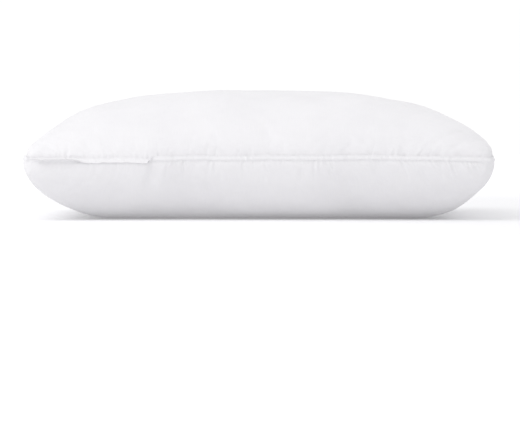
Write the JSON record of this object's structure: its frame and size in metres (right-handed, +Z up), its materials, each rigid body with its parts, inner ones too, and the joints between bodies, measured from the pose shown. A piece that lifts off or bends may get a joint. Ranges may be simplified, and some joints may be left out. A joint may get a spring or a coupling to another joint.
{
  "type": "bed pillow",
  "caption": "White bed pillow: cotton panels sewn round a flat topstitched flange over a full fibre filling, with a flat patch underneath where it rests.",
  "frame": {"origin": "centre of the flat patch on the underside, on the surface that the pillow rests on", "axes": "+X along the long side, +Y from the front long side with the closing run to the back long side with the label, +Z up to the crown"},
  "size_m": [0.6404, 0.4872, 0.176],
  "materials": {
    "ticking": "matt woven cotton, fine plain weave",
    "filling": "loose white fibre",
    "thread": "twisted sewing thread, slight sheen",
    "label": "blank satin-weave tape"
  },
  "bodies": {
    "root": {"top_panel": "ticking", "bottom_panel": "ticking", "fibre_fill": "filling", "inner_row_needle_thread": "thread", "inner_row_bobbin_thread": "thread", "outer_row_needle_thread": "thread", "outer_row_bobbin_thread": "thread", "closing_needle_thread": "thread", "closing_bobbin_thread": "thread", "care_label": "label"}
  },
  "joints": []
}
